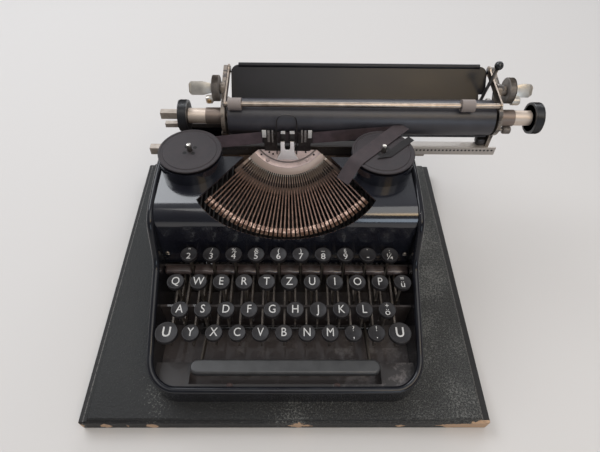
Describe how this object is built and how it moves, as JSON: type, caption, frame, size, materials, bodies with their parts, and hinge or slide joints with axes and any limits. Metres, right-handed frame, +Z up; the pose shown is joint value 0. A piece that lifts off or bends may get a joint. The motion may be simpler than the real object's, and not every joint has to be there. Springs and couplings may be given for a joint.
{
  "type": "portable typewriter",
  "caption": "Four-row portable typewriter on its case board: keys on levers, a fan of typebars, two ribbon spools and a sliding carriage with platen and paper bail.",
  "frame": {"origin": "centre of the case board's underside, on the table", "axes": "+Z up, the typist sits at -Y and the keyboard faces -Y, +X to the typist's right along the platen"},
  "size_m": [0.4028, 0.3, 0.1888],
  "materials": {
    "leatherette": "matte",
    "black_enamel": "gloss",
    "bare_steel": "satin",
    "type_steel": "satin",
    "ribbon_cloth": "matte",
    "platen_rubber": "satin",
    "nickel": "gloss",
    "spool_tin": "satin",
    "key_black": "satin",
    "bar_black": "satin",
    "dark_steel": "satin"
  },
  "bodies": {
    "machine": {"case_board": "leatherette", "base_frame": "black_enamel", "top_cover": "black_enamel", "type_segment": "bare_steel", "typebars": "type_steel", "ribbon": "ribbon_cloth"},
    "carriage_rails": {"carriage_rails": "bare_steel"},
    "carriage": {"carriage_frame": "black_enamel", "paper_table": "black_enamel"},
    "platen": {"platen": "platen_rubber"},
    "paper_bail": {"paper_bail": "nickel"},
    "line_space_lever": {"line_space_lever": "nickel"},
    "carriage_release_lever": {"carriage_release_lever": "nickel"},
    "paper_release_lever": {"paper_release_lever": "nickel"},
    "spool_left": {"spool_left": "spool_tin"},
    "spool_right": {"spool_right": "spool_tin"},
    "shift_frame": {"shift_frame": "key_black"},
    "space_bar": {"space_bar": "bar_black"},
    "typebar_b": {"typebar_b": "type_steel"},
    "ribbon_vibrator": {"ribbon_vibrator": "dark_steel"},
    "key_2": {"key_2": "key_black"},
    "key_3": {"key_3": "key_black"},
    "key_4": {"key_4": "key_black"},
    "key_5": {"key_5": "key_black"},
    "key_6": {"key_6": "key_black"},
    "key_7": {"key_7": "key_black"},
    "key_8": {"key_8": "key_black"},
    "key_9": {"key_9": "key_black"},
    "key_dash": {"key_dash": "key_black"},
    "key_quarter": {"key_quarter": "key_black"},
    "key_q": {"key_q": "key_black"},
    "key_w": {"key_w": "key_black"},
    "key_e": {"key_e": "key_black"},
    "key_r": {"key_r": "key_black"},
    "key_t": {"key_t": "key_black"},
    "key_z": {"key_z": "key_black"},
    "key_u": {"key_u": "key_black"},
    "key_i": {"key_i": "key_black"},
    "key_o": {"key_o": "key_black"},
    "key_p": {"key_p": "key_black"},
    "key_ue": {"key_ue": "key_black"},
    "key_a": {"key_a": "key_black"},
    "key_s": {"key_s": "key_black"},
    "key_d": {"key_d": "key_black"},
    "key_f": {"key_f": "key_black"},
    "key_g": {"key_g": "key_black"},
    "key_h": {"key_h": "key_black"},
    "key_j": {"key_j": "key_black"},
    "key_k": {"key_k": "key_black"},
    "key_l": {"key_l": "key_black"},
    "key_oe": {"key_oe": "key_black"},
    "key_y": {"key_y": "key_black"},
    "key_x": {"key_x": "key_black"},
    "key_c": {"key_c": "key_black"},
    "key_v": {"key_v": "key_black"},
    "key_b": {"key_b": "key_black"},
    "key_n": {"key_n": "key_black"},
    "key_m": {"key_m": "key_black"},
    "key_comma": {"key_comma": "key_black"},
    "key_period": {"key_period": "key_black"}
  },
  "joints": [
    {"name": "carriage_slide", "type": "slide", "parent": "carriage_rails", "child": "carriage", "axis": [1, 0, 0], "range_m": [-0.18, 0.04]},
    {"name": "rails_lift", "type": "slide", "parent": "machine", "child": "carriage_rails", "axis": [0, 0, 1], "range_m": [0, 0.006]},
    {"name": "shift_press", "type": "hinge", "parent": "machine", "child": "shift_frame", "pos_m": [0, 0.1, 0.063], "axis": [1, 0, 0], "range_deg": [0, 4.2]},
    {"name": "platen_turn", "type": "hinge", "parent": "carriage", "child": "platen", "pos_m": [0.0671, 0.087, 0.139], "axis": [1, 0, 0], "continuous": true},
    {"name": "bail_lift", "type": "hinge", "parent": "carriage", "child": "paper_bail", "pos_m": [0.0671, 0.125, 0.163], "axis": [-1, 0, 0], "range_deg": [0, 65]},
    {"name": "line_space_pull", "type": "hinge", "parent": "carriage", "child": "line_space_lever", "pos_m": [0.0671, 0.101, 0.159], "axis": [1, 0, 0], "range_deg": [0, 25], "stiffness_Nm_per_rad": 0.05, "springref_deg": -11.46},
    {"name": "carriage_release_pull", "type": "hinge", "parent": "carriage", "child": "carriage_release_lever", "pos_m": [0.0671, 0.101, 0.159], "axis": [1, 0, 0], "range_deg": [0, 25], "stiffness_Nm_per_rad": 0.05, "springref_deg": -11.46},
    {"name": "paper_release_pull", "type": "hinge", "parent": "carriage", "child": "paper_release_lever", "pos_m": [0.18415, 0.11, 0.139], "axis": [1, 0, 0], "range_deg": [0, 15]},
    {"name": "spool_left_turn", "type": "hinge", "parent": "machine", "child": "spool_left", "pos_m": [-0.0825, 0.0362, 0.124], "axis": [0, 0, 1], "continuous": true},
    {"name": "spool_right_turn", "type": "hinge", "parent": "machine", "child": "spool_right", "pos_m": [0.0825, 0.0362, 0.124], "axis": [0, 0, 1], "continuous": true},
    {"name": "press_b", "type": "hinge", "parent": "machine", "child": "key_b", "pos_m": [0, 0.1, 0.063], "axis": [1, 0, 0], "range_deg": [0, 4.2], "stiffness_Nm_per_rad": 0.1, "springref_deg": -45.84, "deforming": ["ribbon"]},
    {"name": "typebar_b_swing", "type": "hinge", "parent": "machine", "child": "typebar_b", "pos_m": [-0.0013, 0.04686, 0.08138], "axis": [-0.9998, 0.0133, 0.016], "range_deg": [0, 95]},
    {"name": "vibrator_lift", "type": "slide", "parent": "machine", "child": "ribbon_vibrator", "axis": [0, 0, 1], "range_m": [0, 0.009], "deforming": ["ribbon"]},
    {"name": "space_press", "type": "hinge", "parent": "machine", "child": "space_bar", "pos_m": [0, -0.072, 0.028], "axis": [1, 0, 0], "range_deg": [0, 8.5], "stiffness_Nm_per_rad": 0.1, "springref_deg": -28.65},
    {"name": "press_2", "type": "hinge", "parent": "machine", "child": "key_2", "pos_m": [0, 0.1, 0.063], "axis": [1, 0, 0], "range_deg": [0, 4.2], "stiffness_Nm_per_rad": 0.1, "springref_deg": -45.84},
    {"name": "press_3", "type": "hinge", "parent": "machine", "child": "key_3", "pos_m": [0, 0.1, 0.063], "axis": [1, 0, 0], "range_deg": [0, 4.2], "stiffness_Nm_per_rad": 0.1, "springref_deg": -45.84},
    {"name": "press_4", "type": "hinge", "parent": "machine", "child": "key_4", "pos_m": [0, 0.1, 0.063], "axis": [1, 0, 0], "range_deg": [0, 4.2], "stiffness_Nm_per_rad": 0.1, "springref_deg": -45.84},
    {"name": "press_5", "type": "hinge", "parent": "machine", "child": "key_5", "pos_m": [0, 0.1, 0.063], "axis": [1, 0, 0], "range_deg": [0, 4.2], "stiffness_Nm_per_rad": 0.1, "springref_deg": -45.84},
    {"name": "press_6", "type": "hinge", "parent": "machine", "child": "key_6", "pos_m": [0, 0.1, 0.063], "axis": [1, 0, 0], "range_deg": [0, 4.2], "stiffness_Nm_per_rad": 0.1, "springref_deg": -45.84},
    {"name": "press_7", "type": "hinge", "parent": "machine", "child": "key_7", "pos_m": [0, 0.1, 0.063], "axis": [1, 0, 0], "range_deg": [0, 4.2], "stiffness_Nm_per_rad": 0.1, "springref_deg": -45.84},
    {"name": "press_8", "type": "hinge", "parent": "machine", "child": "key_8", "pos_m": [0, 0.1, 0.063], "axis": [1, 0, 0], "range_deg": [0, 4.2], "stiffness_Nm_per_rad": 0.1, "springref_deg": -45.84},
    {"name": "press_9", "type": "hinge", "parent": "machine", "child": "key_9", "pos_m": [0, 0.1, 0.063], "axis": [1, 0, 0], "range_deg": [0, 4.2], "stiffness_Nm_per_rad": 0.1, "springref_deg": -45.84},
    {"name": "press_dash", "type": "hinge", "parent": "machine", "child": "key_dash", "pos_m": [0, 0.1, 0.063], "axis": [1, 0, 0], "range_deg": [0, 4.2], "stiffness_Nm_per_rad": 0.1, "springref_deg": -45.84},
    {"name": "press_quarter", "type": "hinge", "parent": "machine", "child": "key_quarter", "pos_m": [0, 0.1, 0.063], "axis": [1, 0, 0], "range_deg": [0, 4.2], "stiffness_Nm_per_rad": 0.1, "springref_deg": -45.84},
    {"name": "press_q", "type": "hinge", "parent": "machine", "child": "key_q", "pos_m": [0, 0.1, 0.063], "axis": [1, 0, 0], "range_deg": [0, 4.2], "stiffness_Nm_per_rad": 0.1, "springref_deg": -45.84},
    {"name": "press_w", "type": "hinge", "parent": "machine", "child": "key_w", "pos_m": [0, 0.1, 0.063], "axis": [1, 0, 0], "range_deg": [0, 4.2], "stiffness_Nm_per_rad": 0.1, "springref_deg": -45.84},
    {"name": "press_e", "type": "hinge", "parent": "machine", "child": "key_e", "pos_m": [0, 0.1, 0.063], "axis": [1, 0, 0], "range_deg": [0, 4.2], "stiffness_Nm_per_rad": 0.1, "springref_deg": -45.84},
    {"name": "press_r", "type": "hinge", "parent": "machine", "child": "key_r", "pos_m": [0, 0.1, 0.063], "axis": [1, 0, 0], "range_deg": [0, 4.2], "stiffness_Nm_per_rad": 0.1, "springref_deg": -45.84},
    {"name": "press_t", "type": "hinge", "parent": "machine", "child": "key_t", "pos_m": [0, 0.1, 0.063], "axis": [1, 0, 0], "range_deg": [0, 4.2], "stiffness_Nm_per_rad": 0.1, "springref_deg": -45.84},
    {"name": "press_z", "type": "hinge", "parent": "machine", "child": "key_z", "pos_m": [0, 0.1, 0.063], "axis": [1, 0, 0], "range_deg": [0, 4.2], "stiffness_Nm_per_rad": 0.1, "springref_deg": -45.84},
    {"name": "press_u", "type": "hinge", "parent": "machine", "child": "key_u", "pos_m": [0, 0.1, 0.063], "axis": [1, 0, 0], "range_deg": [0, 4.2], "stiffness_Nm_per_rad": 0.1, "springref_deg": -45.84},
    {"name": "press_i", "type": "hinge", "parent": "machine", "child": "key_i", "pos_m": [0, 0.1, 0.063], "axis": [1, 0, 0], "range_deg": [0, 4.2], "stiffness_Nm_per_rad": 0.1, "springref_deg": -45.84},
    {"name": "press_o", "type": "hinge", "parent": "machine", "child": "key_o", "pos_m": [0, 0.1, 0.063], "axis": [1, 0, 0], "range_deg": [0, 4.2], "stiffness_Nm_per_rad": 0.1, "springref_deg": -45.84},
    {"name": "press_p", "type": "hinge", "parent": "machine", "child": "key_p", "pos_m": [0, 0.1, 0.063], "axis": [1, 0, 0], "range_deg": [0, 4.2], "stiffness_Nm_per_rad": 0.1, "springref_deg": -45.84},
    {"name": "press_ue", "type": "hinge", "parent": "machine", "child": "key_ue", "pos_m": [0, 0.1, 0.063], "axis": [1, 0, 0], "range_deg": [0, 4.2], "stiffness_Nm_per_rad": 0.1, "springref_deg": -45.84},
    {"name": "press_a", "type": "hinge", "parent": "machine", "child": "key_a", "pos_m": [0, 0.1, 0.063], "axis": [1, 0, 0], "range_deg": [0, 4.2], "stiffness_Nm_per_rad": 0.1, "springref_deg": -45.84},
    {"name": "press_s", "type": "hinge", "parent": "machine", "child": "key_s", "pos_m": [0, 0.1, 0.063], "axis": [1, 0, 0], "range_deg": [0, 4.2], "stiffness_Nm_per_rad": 0.1, "springref_deg": -45.84},
    {"name": "press_d", "type": "hinge", "parent": "machine", "child": "key_d", "pos_m": [0, 0.1, 0.063], "axis": [1, 0, 0], "range_deg": [0, 4.2], "stiffness_Nm_per_rad": 0.1, "springref_deg": -45.84},
    {"name": "press_f", "type": "hinge", "parent": "machine", "child": "key_f", "pos_m": [0, 0.1, 0.063], "axis": [1, 0, 0], "range_deg": [0, 4.2], "stiffness_Nm_per_rad": 0.1, "springref_deg": -45.84},
    {"name": "press_g", "type": "hinge", "parent": "machine", "child": "key_g", "pos_m": [0, 0.1, 0.063], "axis": [1, 0, 0], "range_deg": [0, 4.2], "stiffness_Nm_per_rad": 0.1, "springref_deg": -45.84},
    {"name": "press_h", "type": "hinge", "parent": "machine", "child": "key_h", "pos_m": [0, 0.1, 0.063], "axis": [1, 0, 0], "range_deg": [0, 4.2], "stiffness_Nm_per_rad": 0.1, "springref_deg": -45.84},
    {"name": "press_j", "type": "hinge", "parent": "machine", "child": "key_j", "pos_m": [0, 0.1, 0.063], "axis": [1, 0, 0], "range_deg": [0, 4.2], "stiffness_Nm_per_rad": 0.1, "springref_deg": -45.84},
    {"name": "press_k", "type": "hinge", "parent": "machine", "child": "key_k", "pos_m": [0, 0.1, 0.063], "axis": [1, 0, 0], "range_deg": [0, 4.2], "stiffness_Nm_per_rad": 0.1, "springref_deg": -45.84},
    {"name": "press_l", "type": "hinge", "parent": "machine", "child": "key_l", "pos_m": [0, 0.1, 0.063], "axis": [1, 0, 0], "range_deg": [0, 4.2], "stiffness_Nm_per_rad": 0.1, "springref_deg": -45.84},
    {"name": "press_oe", "type": "hinge", "parent": "machine", "child": "key_oe", "pos_m": [0, 0.1, 0.063], "axis": [1, 0, 0], "range_deg": [0, 4.2], "stiffness_Nm_per_rad": 0.1, "springref_deg": -45.84},
    {"name": "press_y", "type": "hinge", "parent": "machine", "child": "key_y", "pos_m": [0, 0.1, 0.063], "axis": [1, 0, 0], "range_deg": [0, 4.2], "stiffness_Nm_per_rad": 0.1, "springref_deg": -45.84},
    {"name": "press_x", "type": "hinge", "parent": "machine", "child": "key_x", "pos_m": [0, 0.1, 0.063], "axis": [1, 0, 0], "range_deg": [0, 4.2], "stiffness_Nm_per_rad": 0.1, "springref_deg": -45.84},
    {"name": "press_c", "type": "hinge", "parent": "machine", "child": "key_c", "pos_m": [0, 0.1, 0.063], "axis": [1, 0, 0], "range_deg": [0, 4.2], "stiffness_Nm_per_rad": 0.1, "springref_deg": -45.84},
    {"name": "press_v", "type": "hinge", "parent": "machine", "child": "key_v", "pos_m": [0, 0.1, 0.063], "axis": [1, 0, 0], "range_deg": [0, 4.2], "stiffness_Nm_per_rad": 0.1, "springref_deg": -45.84},
    {"name": "press_n", "type": "hinge", "parent": "machine", "child": "key_n", "pos_m": [0, 0.1, 0.063], "axis": [1, 0, 0], "range_deg": [0, 4.2], "stiffness_Nm_per_rad": 0.1, "springref_deg": -45.84},
    {"name": "press_m", "type": "hinge", "parent": "machine", "child": "key_m", "pos_m": [0, 0.1, 0.063], "axis": [1, 0, 0], "range_deg": [0, 4.2], "stiffness_Nm_per_rad": 0.1, "springref_deg": -45.84},
    {"name": "press_comma", "type": "hinge", "parent": "machine", "child": "key_comma", "pos_m": [0, 0.1, 0.063], "axis": [1, 0, 0], "range_deg": [0, 4.2], "stiffness_Nm_per_rad": 0.1, "springref_deg": -45.84},
    {"name": "press_period", "type": "hinge", "parent": "machine", "child": "key_period", "pos_m": [0, 0.1, 0.063], "axis": [1, 0, 0], "range_deg": [0, 4.2], "stiffness_Nm_per_rad": 0.1, "springref_deg": -45.84}
  ],
  "couplings": [
    {"joint": "typebar_b_swing", "follows": "press_b", "ratio": 22.609},
    {"joint": "vibrator_lift", "follows": "press_b", "m_per_rad": 0.1226},
    {"joint": "shift_press", "follows": "rails_lift", "rad_per_m": 12.2}
  ]
}
